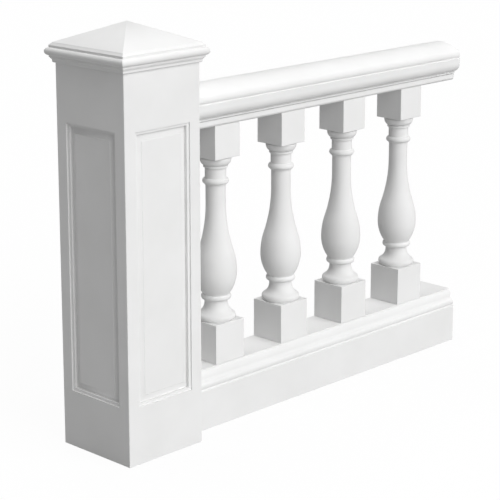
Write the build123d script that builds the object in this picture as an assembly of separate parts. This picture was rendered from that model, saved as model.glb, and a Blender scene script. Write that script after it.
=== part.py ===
from build123d import *
from math import cos, radians, sin
import os

# A stone balustrade: one panelled pier, and a run of four balusters that stand on a
# moulded base and carry a moulded coping. Millimetres, +Z up. The origin is the centre
# of the pier's foot, +X runs along the balustrade and -Y is its front.

# Driving dimensions of the pier
pier_width = 275.0
shaft_height = 1090.0
shaft_arris = 2.0

panel_width = 199.0
panel_bottom = 165.0
panel_top = 930.0
panel_quirk = 2.2
panel_ovolo = 12.0
panel_groove_depth = 11.4
panel_bevel_depth = 9.0
panel_field_depth = 7.0
panel_field_margin = 27.0

cap_foot_out = 8.5
cap_fillet_out = 14.0
cap_roll_out = 23.5
cap_roll_foot = 21.0
cap_roll_head = 46.0
cap_slab_height = 53.0
cap_apex = 1203.0

# Driving dimensions of the run
run_length = 1230.0

base_width = 160.0
base_top_width = 117.0
base_height = 175.0
base_face_height = 118.0

coping_width = 158.0
coping_soffit_width = 102.0
coping_soffit = 880.0
coping_crown = 1000.0
coping_quirk = 74.5

baluster_count = 4
baluster_pitch = 275.0
first_baluster = 332.0
foot_block = 115.0
foot_block_height = 118.0
head_block = 100.0
head_block_height = 100.0
block_arris = 1.5

torus_radius = 57.0
torus_roll = 15.0
scotia_radius = 33.5
lower_bead_radius = 44.5
belly_radius = 61.4
belly_height = 143.0
throat_radius = 29.8
upper_bead_radius = 39.8
neck_radius = 31.3
echinus_radius = 45.0
disc_radius = 46.5


def mirrored_section(half):
    """A closed section from its right half, drawn from foot to crown, and its mirror image."""
    edges = half.edges() + mirror(half, about=Plane.YZ).edges()
    for end in (half @ 0, half @ 1):
        if end.X > 0.001:
            edges.append(Line((-end.X, end.Y), (end.X, end.Y)).edge())
    return make_face(edges)


def turned_arc(centre, radius, start, end):
    """An arc of an outline from its centre, its radius and its two angles in degrees."""

    def point(angle):
        turn = radians(angle)
        return (centre[0] + radius * cos(turn), centre[1] + radius * sin(turn))

    return ThreePointArc(point(start), point((start + end) / 2), point(end))


def square_plan(section, reach):
    """The solid whose four sides all show the same moulded section, mitred at the corners."""
    along_y = extrude(Plane.XZ * section, reach, both=True)
    return along_y & (Rot(0, 0, 90) * along_y)


def rail(section):
    """A moulded rail that butts the pier and runs along +X."""
    return extrude(Plane.YZ.offset(pier_width / 2) * section, run_length)


def framed(cut_section, width, height):
    """A panel's cutter: the section that cut_section gives across and upright, mitred at the corners."""
    across = extrude(Plane.XY * cut_section(width), height, both=True)
    side_on = Plane(origin=(0, 0, 0), x_dir=(0, 0, 1), z_dir=(-1, 0, 0))
    upright = extrude(side_on * cut_section(height), width, both=True)
    return across & upright


def sunk_section(width):
    """The recess across a panel: a quirk, then an ovolo down to the groove."""
    out = width / 2
    foot = out - panel_ovolo
    fall = panel_groove_depth - panel_quirk
    round_over = (out - 0.71 * panel_ovolo, panel_quirk + 0.29 * fall)
    half = Curve() + [
        Line((out, -panel_groove_depth), (out, panel_quirk)),
        ThreePointArc((out, panel_quirk), round_over, (foot, panel_groove_depth)),
    ]
    return mirrored_section(half)


def raised_section(width):
    """The field that stands up in the recess: a shallow bevel, then a small chamfer to the field."""
    foot = width / 2 - panel_ovolo
    field = width / 2 - panel_field_margin
    chamfer = panel_bevel_depth - panel_field_depth
    half = Curve() + Polyline(
        (foot, 2 * panel_groove_depth),
        (foot, panel_groove_depth),
        (field + chamfer, panel_bevel_depth),
        (field, panel_field_depth),
    )
    return mirrored_section(half)


def make_pier_shaft():
    """One square block with a sunk and fielded panel in each face but the one that the rails butt."""
    shaft = Box(pier_width, pier_width, shaft_height, align=(Align.CENTER, Align.CENTER, Align.MIN))
    shaft = fillet(shaft.edges().filter_by(Axis.Z), shaft_arris)
    panel_height = panel_top - panel_bottom
    panel = framed(sunk_section, panel_width, panel_height)
    panel -= framed(raised_section, panel_width, panel_height)
    panel = Pos(0, -pier_width / 2, (panel_top + panel_bottom) / 2) * panel
    for turn in (0, 180, 270):
        shaft -= Rot(0, 0, turn) * panel
    return shaft


def make_pier_cap():
    """The cap: a bed ovolo, a cove, a fillet, a roll and a slab edge under a stepped low pyramid."""
    side = pier_width / 2
    foot = shaft_height
    bed = side + cap_foot_out
    fillet_face = side + cap_fillet_out
    roll_foot = foot + cap_roll_foot
    roll_head = foot + cap_roll_head
    slab = foot + cap_slab_height
    half = Curve() + [
        ThreePointArc((bed - 5, foot), (bed - 1.2, foot + 1.8), (bed, foot + 6)),
        ThreePointArc((bed, foot + 6), (bed + 0.8, foot + 11), (bed + 3.5, foot + 15)),
        Polyline((bed + 3.5, foot + 15), (fillet_face, foot + 15), (fillet_face, roll_foot)),
        ThreePointArc((fillet_face, roll_foot), (side + cap_roll_out, (roll_foot + roll_head) / 2),
                      (fillet_face, roll_head)),
        Polyline((fillet_face, roll_head), (fillet_face, slab), (fillet_face - 7, slab + 2),
                 (fillet_face - 10.5, slab + 5.5), (0, cap_apex)),
    ]
    return square_plan(mirrored_section(half), side + cap_roll_out)


def make_base_rail():
    """The base: a plain face, a ledge and quirk, an ogee and a small riser under the flat top."""
    face = base_width / 2
    top = base_top_width / 2
    ledge = base_face_height
    nose = (face - 5.5, ledge + 22)
    hollow = (face - 12.5, ledge + 34)
    round_over = (top + 1, base_height - 4.5)
    half = Curve() + [
        Polyline((face, 0), (face, ledge), (face - 5, ledge + 3), (face - 5, ledge + 5)),
        ThreePointArc((face - 5, ledge + 5), (face - 1.5, ledge + 13), nose),
        ThreePointArc(nose, (face - 10.8, ledge + 26.5), hollow),
        ThreePointArc(hollow, (face - 15, ledge + 44), round_over),
        Polyline(round_over, (top, base_height - 4), (top, base_height)),
    ]
    return rail(mirrored_section(half))


def make_coping_rail():
    """The coping: an ovolo, a fascia and a fillet, a deep roll, and a rounded crown above a quirk."""
    soffit = coping_soffit_width / 2
    fascia = soffit + 5
    roll = coping_width / 2
    foot = coping_soffit
    quirk = foot + coping_quirk
    roll_foot = (fascia + 5, foot + 30)
    roll_front = (roll, foot + 58)
    shoulder = (roll - 1.2, quirk + 16)
    crown_edge = (roll - 22, coping_crown - 5.5)
    half = Curve() + [
        ThreePointArc((soffit, foot), (soffit + 3.8, foot + 3), (fascia, foot + 9)),
        Polyline((fascia, foot + 9), (fascia, foot + 23.5), (fascia + 3.5, foot + 23.5),
                 (fascia + 3.5, foot + 28), roll_foot),
        ThreePointArc(roll_foot, (roll - 6, foot + 39.7), roll_front),
        Polyline(roll_front, (roll, quirk - 3), (roll - 1, quirk - 2), (roll - 4, quirk - 1.5),
                 (roll - 4, quirk + 0.5), (roll - 2, quirk + 1)),
        ThreePointArc((roll - 2, quirk + 1), (roll, quirk + 8.5), shoulder),
        ThreePointArc(shoulder, (roll - 8, quirk + 30.5), crown_edge),
        ThreePointArc(crown_edge, (crown_edge[0] / 2, coping_crown - 1.4), (0, coping_crown)),
    ]
    return rail(mirrored_section(half))


def make_baluster():
    """One turned baluster between its square foot and head blocks, in one piece, standing on the base."""
    turned_foot = base_height + foot_block_height
    turned_head = coping_soffit - head_block_height

    torus_core = torus_radius - torus_roll
    torus_top = turned_foot + 2 * torus_roll
    lower_bead = turned_foot + 66.5
    bead_roll = 11.0
    belly = turned_foot + belly_height
    lower_curve = 113.0
    upper_curve = 213.0
    turn = 18.0
    shoulder = (belly_radius - upper_curve * (1 - cos(radians(turn))), belly + upper_curve * sin(radians(turn)))
    throat_curve = (shoulder[0] - throat_radius) / (1 - cos(radians(turn)))
    throat = shoulder[1] + throat_curve * sin(radians(turn))
    upper_roll = 9.5
    upper_bead = turned_head - 74.5
    neck_top = turned_head - 37
    disc_foot = turned_head - 12

    torus = turned_arc((torus_core, turned_foot + torus_roll), torus_roll, -90, 90)
    scotia = ThreePointArc((torus_core - 2.5, torus_top + 3), (scotia_radius, torus_top + 16),
                           (lower_bead_radius - 6, lower_bead - 12))
    bead = turned_arc((lower_bead_radius - bead_roll, lower_bead), bead_roll, -62, 58)
    vase = turned_arc((belly_radius - lower_curve, belly), lower_curve, -34, 0)
    vase_back = turned_arc((belly_radius - upper_curve, belly), upper_curve, 0, turn)
    vase_neck = turned_arc((throat_radius + throat_curve, throat), throat_curve, 180 + turn, 180)
    collar = turned_arc((upper_bead_radius - upper_roll, upper_bead), upper_roll, -72, 72)
    echinus = ThreePointArc((neck_radius + 1.7, neck_top + 2), (echinus_radius - 4.4, neck_top + 10),
                            (echinus_radius, disc_foot))

    outline = [
        Polyline((0, turned_foot), torus @ 0),
        torus,
        Polyline(torus @ 1, (torus_core - 2.5, torus_top), scotia @ 0),
        scotia,
        Polyline(scotia @ 1, bead @ 0),
        bead,
        Polyline(bead @ 1, vase @ 0),
        vase,
        vase_back,
        vase_neck,
        Polyline(vase_neck @ 1, (throat_radius, upper_bead - 11), collar @ 0),
        collar,
        Polyline(collar @ 1, (neck_radius, upper_bead + 11), (neck_radius, neck_top),
                 (neck_radius + 1.7, neck_top), echinus @ 0),
        echinus,
        Polyline(echinus @ 1, (disc_radius, disc_foot), (disc_radius, turned_head), (0, turned_head),
                 (0, turned_foot)),
    ]
    edges = [edge for piece in outline for edge in piece.edges()]
    turned = revolve(Plane.XZ * make_face(edges), Axis.Z)
    standing = (Align.CENTER, Align.CENTER, Align.MIN)
    foot = fillet(Box(foot_block, foot_block, foot_block_height, align=standing).edges(), block_arris)
    head = fillet(Box(head_block, head_block, head_block_height, align=standing).edges(), block_arris)
    return Pos(0, 0, base_height) * foot + turned + Pos(0, 0, turned_head) * head


def main():
    os.makedirs("parts", exist_ok=True)
    nodes = {
        "pier_shaft": make_pier_shaft(),
        "pier_cap": make_pier_cap(),
        "base_rail": make_base_rail(),
        "coping_rail": make_coping_rail(),
    }
    baluster = make_baluster()
    for place in range(baluster_count):
        x = first_baluster + place * baluster_pitch
        nodes[f"baluster_{place + 1}"] = Pos(x, 0, 0) * baluster
    for name, solid in nodes.items():
        export_step(solid, f"parts/{name}.step")


main()
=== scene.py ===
import math

import bmesh
import bpy
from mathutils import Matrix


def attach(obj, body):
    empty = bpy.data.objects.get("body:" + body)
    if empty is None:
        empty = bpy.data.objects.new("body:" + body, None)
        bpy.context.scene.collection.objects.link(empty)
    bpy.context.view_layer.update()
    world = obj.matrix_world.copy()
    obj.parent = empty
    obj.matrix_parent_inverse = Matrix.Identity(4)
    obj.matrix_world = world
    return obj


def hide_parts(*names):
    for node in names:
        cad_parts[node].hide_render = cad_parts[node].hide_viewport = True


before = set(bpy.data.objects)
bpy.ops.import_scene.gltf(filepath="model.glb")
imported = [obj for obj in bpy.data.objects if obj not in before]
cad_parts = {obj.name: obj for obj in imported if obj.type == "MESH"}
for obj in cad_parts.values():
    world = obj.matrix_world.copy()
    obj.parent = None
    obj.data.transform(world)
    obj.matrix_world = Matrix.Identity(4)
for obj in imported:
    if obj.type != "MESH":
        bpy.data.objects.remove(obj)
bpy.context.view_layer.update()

# The pier shaft
# One square block of white cast stone: white cement and crushed marble, tamped damp in a mould
# and left matt. Its sunk and fielded panels come from the mould. It stands on a bed of mortar.
STONE_PALE = (0.83, 0.83, 0.828)
STONE_CLOUDED = (0.80, 0.80, 0.796)
# The pale tint along the arrises: a painted highlight, with a little rubbed wear
STONE_RUBBED_AND_HIGHLIT = (0.87, 0.87, 0.868)
CLOUD_SIZE = 0.16
GRAIN_SIZE = 0.0016
PORE_SPACING = 0.006
# How wide the paler arrises are and how strongly they show: a painted edge highlight, with a little
# rubbed wear
RUBBED_AND_HIGHLIT_WIDTH = 0.0012
RUBBED_AND_HIGHLIT_SAMPLES = 6
RUBBED_AND_HIGHLIT_TURNS = (0.99, 0.8)
RUBBED_AND_HIGHLIT_SHARES = (0.0, 0.7)
CLOUD_EDGES = (0.35, 0.65)
CLOUD_DETAIL = 4
GRAIN_EDGES = (0.3, 0.7)
GRAIN_DETAIL = 2
PORE_EDGES = (0.04, 0.16)
SHEEN = 0.3
ROUGHNESSES = (0.72, 0.92)
GRAIN_RELIEF = 0.5
RELIEF_STRENGTH = 0.15
RELIEF_DEPTH = 0.0004
NONE_TO_ALL = (0.0, 1.0)


def cast_stone(name, mould_shift):
    """White cast stone, whose mould_shift moves its clouds and pores: no two castings are alike."""
    stone = bpy.data.materials.new(name)
    stone.use_nodes = True
    nodes, links = stone.node_tree.nodes, stone.node_tree.links
    shader = nodes["Principled BSDF"]
    shader.inputs["Specular IOR Level"].default_value = SHEEN
    surface = nodes.new("ShaderNodeTexCoord")
    shifted = nodes.new("ShaderNodeMapping")
    shifted.inputs["Location"].default_value = mould_shift
    links.new(surface.outputs["Object"], shifted.inputs["Vector"])

    def noise(size, detail):
        texture = nodes.new("ShaderNodeTexNoise")
        texture.inputs["Scale"].default_value = 1 / size
        texture.inputs["Detail"].default_value = detail
        links.new(shifted.outputs["Vector"], texture.inputs["Vector"])
        return texture.outputs["Fac"]

    def blend(factor, first, second):
        mix = nodes.new("ShaderNodeMix")
        mix.data_type = "RGBA"
        links.new(factor, mix.inputs["Factor"])
        for socket, colour in ((mix.inputs["A"], first), (mix.inputs["B"], second)):
            if isinstance(colour, tuple):
                socket.default_value = (*colour, 1)
            else:
                links.new(colour, socket)
        return mix.outputs["Result"]

    def ranged(value, edges, results):
        remap = nodes.new("ShaderNodeMapRange")
        links.new(value, remap.inputs["Value"])
        remap.inputs["From Min"].default_value, remap.inputs["From Max"].default_value = edges
        remap.inputs["To Min"].default_value, remap.inputs["To Max"].default_value = results
        return remap.outputs["Result"]

    # The arrises are painted a little paler. This is partly a painted highlight, where the eased
    # edges would catch the light, and partly rubbed wear. The paler band lies where the eased
    # surface turns away from the flat one.
    eased = nodes.new("ShaderNodeBevel")
    eased.samples = RUBBED_AND_HIGHLIT_SAMPLES
    eased.inputs["Radius"].default_value = RUBBED_AND_HIGHLIT_WIDTH
    true_surface = nodes.new("ShaderNodeNewGeometry")
    turned_away = nodes.new("ShaderNodeVectorMath")
    turned_away.operation = "DOT_PRODUCT"
    links.new(eased.outputs["Normal"], turned_away.inputs[0])
    links.new(true_surface.outputs["Normal"], turned_away.inputs[1])
    rubbed_and_highlit = ranged(turned_away.outputs["Value"], RUBBED_AND_HIGHLIT_TURNS, RUBBED_AND_HIGHLIT_SHARES)

    clouds = ranged(noise(CLOUD_SIZE, CLOUD_DETAIL), CLOUD_EDGES, NONE_TO_ALL)
    grain = noise(GRAIN_SIZE, GRAIN_DETAIL)
    clouded = blend(clouds, STONE_CLOUDED, STONE_PALE)
    # The painted edge highlight and the rubbed wear are mixed into the stone's colour here
    links.new(blend(rubbed_and_highlit, clouded, STONE_RUBBED_AND_HIGHLIT), shader.inputs["Base Color"])
    links.new(ranged(grain, GRAIN_EDGES, ROUGHNESSES), shader.inputs["Roughness"])

    pores = nodes.new("ShaderNodeTexVoronoi")
    pores.inputs["Scale"].default_value = 1 / PORE_SPACING
    links.new(shifted.outputs["Vector"], pores.inputs["Vector"])
    pitted = nodes.new("ShaderNodeMath")
    pitted.operation = "MULTIPLY_ADD"
    links.new(grain, pitted.inputs[0])
    pitted.inputs[1].default_value = GRAIN_RELIEF
    links.new(ranged(pores.outputs["Distance"], PORE_EDGES, NONE_TO_ALL), pitted.inputs[2])
    relief = nodes.new("ShaderNodeBump")
    relief.inputs["Strength"].default_value = RELIEF_STRENGTH
    relief.inputs["Distance"].default_value = RELIEF_DEPTH
    links.new(pitted.outputs["Value"], relief.inputs["Height"])
    links.new(relief.outputs["Normal"], shader.inputs["Normal"])
    return stone


PIER_SIDE = 0.1375
SHAFT_TOP = 1.09
SHAFT_ARRIS = 0.002
ARRIS_STEPS = 6
PANEL_SIDE = 0.0995
PANEL_FOOT = 0.165
PANEL_HEAD = 0.930
PANELLED_SIDES = (0, 180, 270)
PLAIN_SIDE = 90
ALL_SIDES = (0, 90, 180, 270)
# How far in and how deep each line of the panel's moulding lies: the quirk, a flat fillet, the
# wall down to the groove, the field's shallow bevel, and the chamfer up to the field.
PANEL_MOULDING = (
    (0.0, 0.0), (0.0, 0.0032), (0.0004, 0.0039), (0.0012, 0.0043), (0.0081, 0.0050),
    (0.0081, 0.0142), (0.0086, 0.0142), (0.0265, 0.0085), (0.0285, 0.0065),
)
CRISP_FROM = math.radians(28)
SAME_PLACE = 1e-6


def with_flats_kept_flat(piece):
    """The piece as a plain mesh, its modifiers used, whose eased arrises leave its flats flat."""
    flats = piece.modifiers.new("flats", "WEIGHTED_NORMAL")
    flats.keep_sharp = True
    seen = piece.evaluated_get(bpy.context.evaluated_depsgraph_get())
    finished = bpy.data.meshes.new_from_object(seen)
    piece.modifiers.clear()
    piece.data = finished
    return piece


skin = bmesh.new()


def turned_round(x, y, side):
    """A place on the front, turned round to its own side of the shaft."""
    cosine = round(math.cos(math.radians(side)))
    sine = round(math.sin(math.radians(side)))
    return cosine * x - sine * y, sine * x + cosine * y


def facet(points, side):
    """One face of the shaft, drawn on the front and turned round to its own side."""
    skin.faces.new([skin.verts.new((*turned_round(x, y, side), z)) for x, y, z in points])


def upright_frame(half_width, foot, head, depth):
    """The corners of an oblong that lies at a depth behind the shaft's front."""
    corners = [(-half_width, foot), (half_width, foot), (half_width, head), (-half_width, head)]
    return [(x, depth - PIER_SIDE, z) for x, z in corners]


flat_reach = PIER_SIDE - SHAFT_ARRIS
border = upright_frame(flat_reach, 0, SHAFT_TOP, 0)
panel_frames = [
    upright_frame(PANEL_SIDE - inset, PANEL_FOOT + inset, PANEL_HEAD - inset, depth)
    for inset, depth in PANEL_MOULDING
]
for side in PANELLED_SIDES:
    for outer, inner in zip([border] + panel_frames, panel_frames):
        for first in range(4):
            last = (first + 1) % 4
            facet([outer[first], outer[last], inner[last], inner[first]], side)
    facet(panel_frames[-1], side)
facet(border, PLAIN_SIDE)

angles = [math.radians(-90 + 90 * step / ARRIS_STEPS) for step in range(ARRIS_STEPS + 1)]
arris = [
    (flat_reach + SHAFT_ARRIS * math.cos(angle), SHAFT_ARRIS * math.sin(angle) - flat_reach)
    for angle in angles
]
plan = []
for side in ALL_SIDES:
    for (ax, ay), (bx, by) in zip(arris, arris[1:]):
        facet([(ax, ay, 0), (bx, by, 0), (bx, by, SHAFT_TOP), (ax, ay, SHAFT_TOP)], side)
    plan += [turned_round(x, y, side) for x, y in arris]
facet([(x, y, SHAFT_TOP) for x, y in plan], 0)
facet([(x, y, 0) for x, y in reversed(plan)], 0)
bmesh.ops.remove_doubles(skin, verts=skin.verts, dist=SAME_PLACE)
bmesh.ops.recalc_face_normals(skin, faces=skin.faces)
for face in skin.faces:
    face.smooth = True
shaft_mesh = bpy.data.meshes.new("cast_pier_shaft")
skin.to_mesh(shaft_mesh)
skin.free()
shaft_mesh.set_sharp_from_angle(angle=CRISP_FROM)
shaft_mesh.materials.append(cast_stone("stone_of_pier_shaft", (0.0, 0.0, 0.0)))
shaft = bpy.data.objects.new("cast_pier_shaft", shaft_mesh)
bpy.context.collection.objects.link(shaft)
shaft = with_flats_kept_flat(shaft)
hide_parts("pier_shaft")
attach(shaft, "root")

# The base rail
# The plinth under the run: one length of cast stone, screeded along its mould with a template of
# the moulding, so the same section runs from end to end. It lies on mortar and butts the pier.
RUN_END = 1.3675
BASE_TOP = 0.175
BASE_SIDE = 0.080
BASE_EDGE = 0.118
CUT_ARRIS = 0.0012
SEAM_GAP = 1e-5
RINGS = 6
MIDDLE_OF_RINGS = 2.5
RING_AT_THE_CUT = 1.5


def bow(start, through, end, steps):
    """Points along the arc that passes through three points, without its first point."""
    (ax, ay), (bx, by), (cx, cy) = start, through, end
    turn = 2 * (ax * (by - cy) + bx * (cy - ay) + cx * (ay - by))
    a2, b2, c2 = ax * ax + ay * ay, bx * bx + by * by, cx * cx + cy * cy
    ox = (a2 * (by - cy) + b2 * (cy - ay) + c2 * (ay - by)) / turn
    oy = (a2 * (cx - bx) + b2 * (ax - cx) + c2 * (bx - ax)) / turn
    radius = math.hypot(ax - ox, ay - oy)
    first = math.atan2(ay - oy, ax - ox)
    middle = (math.atan2(by - oy, bx - ox) - first) % math.tau
    sweep = (math.atan2(cy - oy, cx - ox) - first) % math.tau
    if middle > sweep:
        sweep -= math.tau
    angles = [first + sweep * step / steps for step in range(1, steps + 1)]
    return [(ox + radius * math.cos(angle), oy + radius * math.sin(angle)) for angle in angles]


class Tree:
    """A Geometry Nodes tree in the making: its named inputs, its sums and its links."""

    def __init__(self, name, inputs):
        self.group = bpy.data.node_groups.new(name, "GeometryNodeTree")
        sockets = self.group.interface
        for label, kind in inputs:
            sockets.new_socket(label, in_out="INPUT", socket_type="NodeSocket" + kind)
        sockets.new_socket("Casting", in_out="OUTPUT", socket_type="NodeSocketGeometry")
        self.given = self.group.nodes.new("NodeGroupInput").outputs

    def node(self, kind, links=(), **settings):
        made = self.group.nodes.new(kind)
        for key, value in settings.items():
            setattr(made, key, value)
        for socket, value in links:
            if isinstance(value, bpy.types.NodeSocket):
                self.group.links.new(value, made.inputs[socket])
            else:
                made.inputs[socket].default_value = value
        return made

    def sum(self, operation, *values):
        made = self.node("ShaderNodeMath", list(enumerate(values)), operation=operation)
        return made.outputs[0]

    def point(self, x, y, z):
        made = self.node("ShaderNodeCombineXYZ", [("X", x), ("Y", y), ("Z", z)])
        return made.outputs[0]

    def outline_grid(self, rows, columns, row_of_outline):
        """A grid, its row and column numbers, and the outline's point for one of them."""
        grid = self.node("GeometryNodeMeshGrid", [("Vertices X", rows), ("Vertices Y", columns)])
        number = self.node("GeometryNodeInputIndex").outputs[0]
        row = self.sum("FLOOR", self.sum("DIVIDE", self.sum("ADD", number, 0.5), columns))
        column = self.sum("SUBTRACT", number, self.sum("MULTIPLY", row, columns))
        wanted = row if row_of_outline else self.sum("MODULO", column, self.outline_length())
        place = self.node("GeometryNodeInputPosition").outputs[0]
        sample = self.node(
            "GeometryNodeSampleIndex",
            [("Geometry", self.given["Outline"]), ("Value", place), ("Index", wanted)],
            data_type="FLOAT_VECTOR",
        )
        point = self.node("ShaderNodeSeparateXYZ", [(0, sample.outputs[0])]).outputs
        return grid.outputs[0], row, column, point

    def outline_length(self):
        size = self.node("GeometryNodeAttributeDomainSize", [(0, self.given["Outline"])])
        return size.outputs["Point Count"]

    def end(self, mesh, place):
        """Closes the seams, faces it outwards, keeps its arrises crisp, and gives it its stone."""
        placed = self.node("GeometryNodeSetPosition", [("Geometry", mesh), ("Position", place)])
        closed = self.node(
            "GeometryNodeMergeByDistance", [(0, placed.outputs[0]), ("Distance", SEAM_GAP)]
        )
        outward = self.node("GeometryNodeFlipFaces", [(0, closed.outputs[0])])
        smooth = self.node(
            "GeometryNodeSetShadeSmooth", [(0, outward.outputs[0]), ("Shade Smooth", True)]
        )
        bend = self.node("GeometryNodeInputMeshEdgeAngle").outputs["Unsigned Angle"]
        gentle = self.node(
            "FunctionNodeCompare", [(0, bend), (1, CRISP_FROM)], operation="LESS_THAN"
        )
        crisp = self.node(
            "GeometryNodeSetShadeSmooth",
            [(0, smooth.outputs[0]), ("Shade Smooth", gentle.outputs[0])],
            domain="EDGE",
        )
        whole = self.node("GeometryNodeRealizeInstances", [(0, crisp.outputs[0])])
        stone = self.node(
            "GeometryNodeSetMaterial", [(0, whole.outputs[0]), ("Material", self.given["Stone"])]
        )
        self.node("NodeGroupOutput", [(0, stone.outputs[0])])

    def cast(self, name, outline, stone, **sizes):
        """The finished piece as a plain mesh, from an outline's points and the tree's sizes."""
        template = bpy.data.meshes.new(name)
        template.from_pydata(outline, [], [])
        piece = bpy.data.objects.new(name, template)
        bpy.context.collection.objects.link(piece)
        made = piece.modifiers.new("made", "NODES")
        made.node_group = self.group
        given = {label.replace("_", " "): value for label, value in sizes.items()}
        given["Stone"] = stone
        for socket in self.group.interface.items_tree:
            if socket.name in given:
                made[socket.identifier] = given[socket.name]
        return with_flats_kept_flat(piece)


moulding_run = Tree(
    "moulding_run",
    [("Outline", "Geometry"), ("Near end", "Float"), ("Far end", "Float"), ("Cut arris", "Float"),
     ("Middle height", "Float"), ("Arris share", "Float"), ("Stone", "Material")],
)
# Three rings of the outline at either end: one drawn in to a point that closes the cut, one at the
# cut's edge, and one a little way in, from where the eased arris ends.
t = moulding_run
around = t.sum("ADD", t.outline_length(), 1)
grid, ring, _, point = t.outline_grid(RINGS, around, False)
from_middle = t.sum("ABSOLUTE", t.sum("SUBTRACT", ring, MIDDLE_OF_RINGS))
at_far_end = t.sum("GREATER_THAN", ring, MIDDLE_OF_RINGS)
inward = t.sum("MAXIMUM", t.sum("SUBTRACT", RING_AT_THE_CUT, from_middle), 0)
inward = t.sum("MULTIPLY", inward, t.given["Cut arris"])
towards = t.sum("SUBTRACT", 1, t.sum("MULTIPLY", at_far_end, 2))
length = t.sum("SUBTRACT", t.given["Far end"], t.given["Near end"])
along = t.sum("ADD", t.given["Near end"], t.sum("MULTIPLY", at_far_end, length))
along = t.sum("ADD", along, t.sum("MULTIPLY", inward, towards))
size = t.sum("SUBTRACT", MIDDLE_OF_RINGS, from_middle)
size = t.sum("MULTIPLY", size, t.sum("SUBTRACT", 1, t.given["Arris share"]))
size = t.sum("MINIMUM", size, 1)
across = t.sum("MULTIPLY", point["Y"], size)
upright = t.sum("MULTIPLY", t.sum("SUBTRACT", point["Z"], t.given["Middle height"]), size)
upright = t.sum("ADD", upright, t.given["Middle height"])
t.end(grid, t.point(along, across, upright))


def both_faces(front):
    """A whole section from its half, drawn from the foot to the crown, and its mirror image."""
    back = [(-y, z) for y, z in reversed(front) if y > 0]
    return [(0, y, z) for y, z in front + back]


# The plain face and the ledge with its quirk, then the ovolo, the hollow, the round and the riser.
base_half = [(BASE_SIDE, 0), (BASE_SIDE, BASE_EDGE), (0.075, 0.121), (0.075, 0.123)]
base_half += bow((0.075, 0.123), (0.0785, 0.131), (0.0745, 0.140), 10)
base_half += bow((0.0745, 0.140), (0.0692, 0.1445), (0.0675, 0.152), 8)
base_half += bow((0.0675, 0.152), (0.065, 0.162), (0.0595, 0.1705), 8)
base_half += [(0.0585, 0.171), (0.0585, BASE_TOP)]
base = moulding_run.cast(
    "base_moulding", both_faces(base_half), cast_stone("stone_of_base", (0.31, 0.17, 0.53)),
    Near_end=PIER_SIDE, Far_end=RUN_END, Cut_arris=CUT_ARRIS, Middle_height=BASE_TOP / 2,
    Arris_share=CUT_ARRIS / BASE_SIDE,
)
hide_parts("base_rail")
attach(base, "root")

# The balusters
# Four alike, each cast in one piece in a two-part mould: a square foot block, the turned vase with
# its torus and beads, and a smaller square head block. A dowel pins each end to the rails.
BALUSTER_PLACES = (0.332, 0.607, 0.882, 1.157)
TURNED_FOOT = 0.293
TURNED_HEAD = 0.780
COPING_SOFFIT = 0.880
FOOT_BLOCK = 0.115
HEAD_BLOCK = 0.100
BLOCK_ARRIS = 0.0015
BELLY_RADIUS = 0.0614
BELLY_HEIGHT = 0.4375
THROAT_RADIUS = 0.0294
BELLY_CURVE = 0.113
SHOULDER_CURVE = 0.213
SHOULDER_TURN = 18
STEPS_ROUND_A_CORNER = 24
ARRIS_STEPS_OF_A_BLOCK = 6

turned = Tree(
    "turned_and_squared",
    [("Outline", "Geometry"), ("Steps round a corner", "Int"), ("Place along the run", "Float"),
     ("Stone", "Material")],
)
# An outline's point holds a radius, the spread of the four corners that it turns round, and a
# height. With no spread the piece is round, and with one it is a square with eased corners.
t = turned
steps = t.given["Steps round a corner"]
corner_size = t.sum("ADD", steps, 1)
around = t.sum("ADD", t.sum("MULTIPLY", corner_size, 4), 1)
grid, _, spoke, point = t.outline_grid(t.outline_length(), around, True)
corner = t.sum("FLOOR", t.sum("DIVIDE", t.sum("ADD", spoke, 0.5), corner_size))
step = t.sum("SUBTRACT", spoke, t.sum("MULTIPLY", corner, corner_size))
quarters = t.sum("ADD", corner, t.sum("DIVIDE", step, steps))
angle = t.sum("MULTIPLY", quarters, math.pi / 2)
diagonal = t.sum("MULTIPLY_ADD", corner, math.pi / 2, math.pi / 4)
spread = t.sum("MULTIPLY", point["Y"], math.sqrt(2))
x = t.sum("MULTIPLY", spread, t.sum("COSINE", diagonal))
x = t.sum("ADD", x, t.sum("MULTIPLY", point["X"], t.sum("COSINE", angle)))
x = t.sum("ADD", x, t.given["Place along the run"])
y = t.sum("MULTIPLY", spread, t.sum("SINE", diagonal))
y = t.sum("ADD", y, t.sum("MULTIPLY", point["X"], t.sum("SINE", angle)))
t.end(grid, t.point(x, y, point["Z"]))


def turn(middle, radius, first, last, steps):
    """Points along an arc from its middle, its radius and its two angles in degrees."""
    angles = [math.radians(first + (last - first) * step / steps) for step in range(steps + 1)]
    return [(middle[0] + radius * math.cos(a), middle[1] + radius * math.sin(a)) for a in angles]


def square_block(width, foot, head):
    """The outline of a square block whose arrises are all eased alike."""
    spread = width / 2 - BLOCK_ARRIS
    low = turn((0, foot + BLOCK_ARRIS), BLOCK_ARRIS, -90, 0, ARRIS_STEPS_OF_A_BLOCK)
    high = turn((0, head - BLOCK_ARRIS), BLOCK_ARRIS, 0, 90, ARRIS_STEPS_OF_A_BLOCK)
    return [(radius, spread, z) for radius, z in low + high]


# The shoulder's arc and the throat's meet where both have turned by the same angle.
shoulder_in = 1 - math.cos(math.radians(SHOULDER_TURN))
shoulder_up = math.sin(math.radians(SHOULDER_TURN))
throat_curve = (BELLY_RADIUS - SHOULDER_CURVE * shoulder_in - THROAT_RADIUS) / shoulder_in
throat_height = BELLY_HEIGHT + (SHOULDER_CURVE + throat_curve) * shoulder_up
shoulder_middle = (BELLY_RADIUS - SHOULDER_CURVE, BELLY_HEIGHT)
throat_middle = (THROAT_RADIUS + throat_curve, throat_height)

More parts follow.
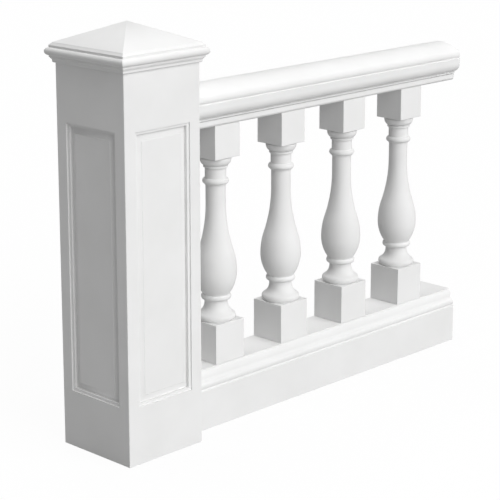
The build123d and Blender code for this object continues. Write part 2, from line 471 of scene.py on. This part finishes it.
# The torus, the scotia and the bead.
vase = [(0.0515, TURNED_FOOT)]
vase += bow((0.0515, TURNED_FOOT), (0.0573, 0.3020), (0.0538, 0.3120), 12)
vase += [(0.0515, 0.3135)]
vase += bow((0.0515, 0.3135), (0.0396, 0.3255), (0.0343, 0.3430), 12)
vase += [(0.0343, 0.3520), (0.0374, 0.3536)]
vase += turn((0.0358, 0.3620), 0.0088, -74, 60, 12)
# The vase: its belly, its shoulder and its throat.
vase += turn((BELLY_RADIUS - BELLY_CURVE, BELLY_HEIGHT), BELLY_CURVE, -34, 0, 12)
vase += turn(shoulder_middle, SHOULDER_CURVE, 0, SHOULDER_TURN, 10)[1:]
vase += turn(throat_middle, throat_curve, 180 + SHOULDER_TURN, 180, 12)[1:]
# The collar and the neck, and the echinus over a fillet between two quirks.
vase += [(THROAT_RADIUS, 0.6965), (0.0316, 0.6970), (0.0316, 0.6995)]
vase += turn((0.0298, 0.7082), 0.0090, -76, 76, 12)
vase += [(0.0312, 0.7175), (0.0312, 0.7400)]
vase += bow((0.0312, 0.7400), (0.0317, 0.7450), (0.0335, 0.7482), 5)
vase += [(0.0335, 0.7490), (0.0358, 0.7493), (0.0358, 0.7537), (0.0335, 0.7540), (0.0335, 0.7557)]
vase += bow((0.0372, 0.7560), (0.0430, 0.7625), (0.0457, 0.7715), 8)
vase += bow((0.0457, 0.7715), (0.0455, 0.7765), (0.0425, 0.7785), 5)
vase += [(0.0420, TURNED_HEAD)]

baluster_outline = [(0, 0, BASE_TOP)]
baluster_outline += square_block(FOOT_BLOCK, BASE_TOP, TURNED_FOOT)
baluster_outline += [(radius, 0, height) for radius, height in vase]
baluster_outline += square_block(HEAD_BLOCK, TURNED_HEAD, COPING_SOFFIT)
baluster_outline += [(0, 0, COPING_SOFFIT)]

for number, place in enumerate(BALUSTER_PLACES, start=1):
    stone = cast_stone(f"stone_of_baluster_{number}", (0.7 * number, 0.2, 0.4 * number))
    baluster = turned.cast(
        f"cast_baluster_{number}", baluster_outline, stone,
        Steps_round_a_corner=STEPS_ROUND_A_CORNER, Place_along_the_run=place,
    )
    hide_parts(f"baluster_{number}")
    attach(baluster, "root")

# The coping rail
# The handrail: one length of cast stone run with its own template, with a rounded crown that
# sheds the rain. It sits on the balusters' head blocks and butts the pier under the cap.
COPING_CROWN = 1.0
COPING_SIDE = 0.079

# The splay, the fascia, a fillet between two quirks, the deep roll with its quirk, and the crown.
coping_half = [(0.0490, COPING_SOFFIT)]
coping_half += bow((0.0490, COPING_SOFFIT), (0.0535, 0.8832), (0.0560, 0.8880), 6)
coping_half += [(0.0560, 0.9000), (0.0515, 0.9005), (0.0515, 0.9032), (0.0605, 0.9035)]
coping_half += [(0.0605, 0.9067), (0.0560, 0.9071), (0.0560, 0.9100), (0.0615, 0.9105)]
coping_half += bow((0.0615, 0.9105), (0.0735, 0.9202), (COPING_SIDE, 0.9380), 14)
coping_half += [(COPING_SIDE, 0.9515), (0.0780, 0.9525), (0.0750, 0.9535)]
coping_half += [(0.0750, 0.9555), (0.0765, 0.9567)]
coping_half += bow((0.0765, 0.9567), (0.0788, 0.9620), (0.0783, 0.9675), 6)
coping_half += bow((0.0783, 0.9675), (0.0745, 0.9760), (0.0665, 0.9818), 10)
coping_half += bow((0.0665, 0.9818), (0.0350, 0.9954), (0, COPING_CROWN), 12)
coping = moulding_run.cast(
    "coping_moulding", both_faces(coping_half), cast_stone("stone_of_coping", (0.13, 0.71, 0.29)),
    Near_end=PIER_SIDE, Far_end=RUN_END, Cut_arris=CUT_ARRIS, Middle_height=0.902,
    Arris_share=CUT_ARRIS / COPING_SIDE,
)
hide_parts("coping_rail")
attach(coping, "root")

# The pier cap
# A square cap stone with the same moulding on its four sides, mitred at the corners, under a
# low pyramid that sheds the rain. It is cast upside down and bedded on the shaft in mortar.
CAP_APEX = 1.203
CAP_ARRIS = 0.001
STEPS_ROUND_A_MITRE = 6

# The bed ovolo, the cove, the fillet, the roll and the slab's edge, stepped in to the pyramid.
cap_section = [(0.1400, SHAFT_TOP)]
cap_section += bow((0.1400, SHAFT_TOP), (0.1427, 1.0912), (0.1437, 1.0940), 5)
cap_section += bow((0.1437, 1.0940), (0.1446, 1.0990), (0.1478, 1.1025), 6)
cap_section += [(0.1478, 1.1045), (0.1500, 1.1050), (0.1500, 1.1095)]
cap_section += bow((0.1500, 1.1095), (0.1590, 1.1205), (0.1500, 1.1315), 12)
cap_section += [(0.1500, 1.1380), (0.1432, 1.1442), (0.1427, 1.1455)]
cap_outline = [(0, 0, SHAFT_TOP)]
cap_outline += [(CAP_ARRIS, reach - CAP_ARRIS, height) for reach, height in cap_section]
cap_outline += [(0, 0, CAP_APEX)]
cap = turned.cast(
    "cast_pier_cap", cap_outline, cast_stone("stone_of_pier_cap", (0.47, 0.37, 0.83)),
    Steps_round_a_corner=STEPS_ROUND_A_MITRE, Place_along_the_run=0.0,
)
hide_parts("pier_cap")
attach(cap, "root")

# The camera
# It stands to the left of the pier's front corner, well above the cap, and looks down a little
# through a long lens. The lens is shifted, so that the pier's foot stays in the frame.
FRAME_PIXELS = 500
SENSOR_WIDTH = 36
FOCAL_PIXELS = 1740
SHIFT_PIXELS = 60
CAMERA_PLACE = (-3.099, -3.476, 1.843)
CAMERA_YAW = 45.79
CAMERA_PITCH = 13.41

camera_data = bpy.data.cameras.new("camera")
camera_data.sensor_width = SENSOR_WIDTH
camera_data.lens = SENSOR_WIDTH * FOCAL_PIXELS / FRAME_PIXELS
camera_data.shift_y = -SHIFT_PIXELS / FRAME_PIXELS
camera = bpy.data.objects.new("camera", camera_data)
camera.location = CAMERA_PLACE
camera.rotation_euler = (math.radians(90 - CAMERA_PITCH), 0, -math.radians(CAMERA_YAW))
bpy.context.collection.objects.link(camera)
bpy.context.scene.camera = camera

# The floor
# A plain pale studio floor in matt paint. The camera sees most of it as white, and the rest of it
# keeps the balustrade's shadow.
FLOOR_REACH = 60
FLOOR_GREY = 0.4
FLOOR_WHITE_SHARE = 0.85
FLOOR_WHITE = 1.1

reach = FLOOR_REACH
floor_mesh = bpy.data.meshes.new("floor")
floor_mesh.from_pydata(
    [(-reach, -reach, 0), (reach, -reach, 0), (reach, reach, 0), (-reach, reach, 0)],
    [], [(0, 1, 2, 3)],
)
floor = bpy.data.objects.new("floor", floor_mesh)
bpy.context.collection.objects.link(floor)
floor_paint = bpy.data.materials.new("floor_paint")
floor_paint.use_nodes = True
nodes, links = floor_paint.node_tree.nodes, floor_paint.node_tree.links
nodes.clear()
seen_by = nodes.new("ShaderNodeLightPath")
matt = nodes.new("ShaderNodeBsdfDiffuse")
matt.inputs["Color"].default_value = (FLOOR_GREY, FLOOR_GREY, FLOOR_GREY, 1)
white = nodes.new("ShaderNodeEmission")
white.inputs["Strength"].default_value = FLOOR_WHITE
white_share = nodes.new("ShaderNodeMath")
white_share.operation = "MULTIPLY"
white_share.inputs[1].default_value = FLOOR_WHITE_SHARE
links.new(seen_by.outputs["Is Camera Ray"], white_share.inputs[0])
floor_mix = nodes.new("ShaderNodeMixShader")
links.new(white_share.outputs["Value"], floor_mix.inputs["Fac"])
links.new(matt.outputs["BSDF"], floor_mix.inputs[1])
links.new(white.outputs["Emission"], floor_mix.inputs[2])
floor_out = nodes.new("ShaderNodeOutputMaterial")
links.new(floor_mix.outputs["Shader"], floor_out.inputs["Surface"])
floor_mesh.materials.append(floor_paint)

# The light
# Two broad soft lights in an even white room: the key from the front, and one from overhead and a
# little behind. The camera alone sees the room at full white; as light it is much dimmer.
KEY_LEVEL = 2.55
KEY_BREADTH = 60
KEY_AZIMUTH = 2
KEY_HEIGHT = 30
TOP_LEVEL = 1.30
TOP_BREADTH = 40
TOP_AZIMUTH = 180
TOP_HEIGHT = 75
ROOM_LEVEL = 0.21
WHITE = (1, 1, 1, 1)


def soft_box(name, level, breadth, azimuth, height):
    """A broad light by where it stands: degrees round from the front, and above the floor."""
    lamp = bpy.data.lights.new(name, "SUN")
    lamp.energy = level
    lamp.angle = math.radians(breadth)
    stand = bpy.data.objects.new(name, lamp)
    stand.rotation_euler = (math.radians(90 - height), 0, math.radians(azimuth))
    bpy.context.collection.objects.link(stand)


soft_box("key", KEY_LEVEL, KEY_BREADTH, KEY_AZIMUTH, KEY_HEIGHT)
soft_box("top_light", TOP_LEVEL, TOP_BREADTH, TOP_AZIMUTH, TOP_HEIGHT)

room = bpy.data.worlds.new("room")
room.use_nodes = True
nodes, links = room.node_tree.nodes, room.node_tree.links
nodes.clear()
seen_by = nodes.new("ShaderNodeLightPath")
room_light = nodes.new("ShaderNodeBackground")
room_light.inputs["Color"].default_value = WHITE
room_light.inputs["Strength"].default_value = ROOM_LEVEL
room_white = nodes.new("ShaderNodeBackground")
room_white.inputs["Color"].default_value = WHITE
room_mix = nodes.new("ShaderNodeMixShader")
links.new(seen_by.outputs["Is Camera Ray"], room_mix.inputs["Fac"])
links.new(room_light.outputs["Background"], room_mix.inputs[1])
links.new(room_white.outputs["Background"], room_mix.inputs[2])
room_out = nodes.new("ShaderNodeOutputWorld")
links.new(room_mix.outputs["Shader"], room_out.inputs["Surface"])
bpy.context.scene.world = room
bpy.context.scene.view_settings.view_transform = "Standard"
